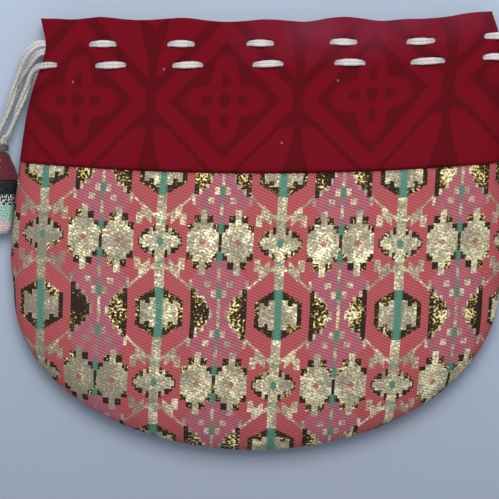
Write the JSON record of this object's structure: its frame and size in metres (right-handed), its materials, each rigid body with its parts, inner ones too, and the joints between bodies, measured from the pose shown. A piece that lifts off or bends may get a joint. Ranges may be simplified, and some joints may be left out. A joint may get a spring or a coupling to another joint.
{
  "type": "potli bag",
  "caption": "Flat drawstring pouch with a round-bottomed brocade body, a printed cotton yoke, woven drawcords and a cloth tassel at each side.",
  "frame": {"origin": "on the flat of the back panel, level with the shoulders of the round bottom, near the pouch's middle line", "axes": "+X across the pouch to its right seen from the front, +Y up the pouch towards its mouth, +Z out of the front, away from the surface it lies on"},
  "size_m": [0.26, 0.2045, 0.03],
  "materials": {
    "brocade": "ribbed brocade with metallic thread",
    "cotton": "matt printed cotton",
    "lining": "plain weave",
    "cord": "soft twisted cotton",
    "thread": "wound thread",
    "banded": "banded cloth with small flecks"
  },
  "bodies": {
    "root": {"front_brocade_panel": "brocade", "back_brocade_panel": "brocade", "front_yoke_panel": "cotton", "back_yoke_panel": "cotton", "front_lining": "lining", "back_lining": "lining", "upper_front_drawcord": "cord", "upper_back_drawcord": "cord", "lower_front_drawcord": "cord", "lower_back_drawcord": "cord", "tassel_binding_left": "thread", "tassel_cone_left": "cotton", "tassel_skirt_left": "banded", "tassel_binding_right": "thread", "tassel_cone_right": "cotton", "tassel_skirt_right": "banded"}
  },
  "joints": []
}
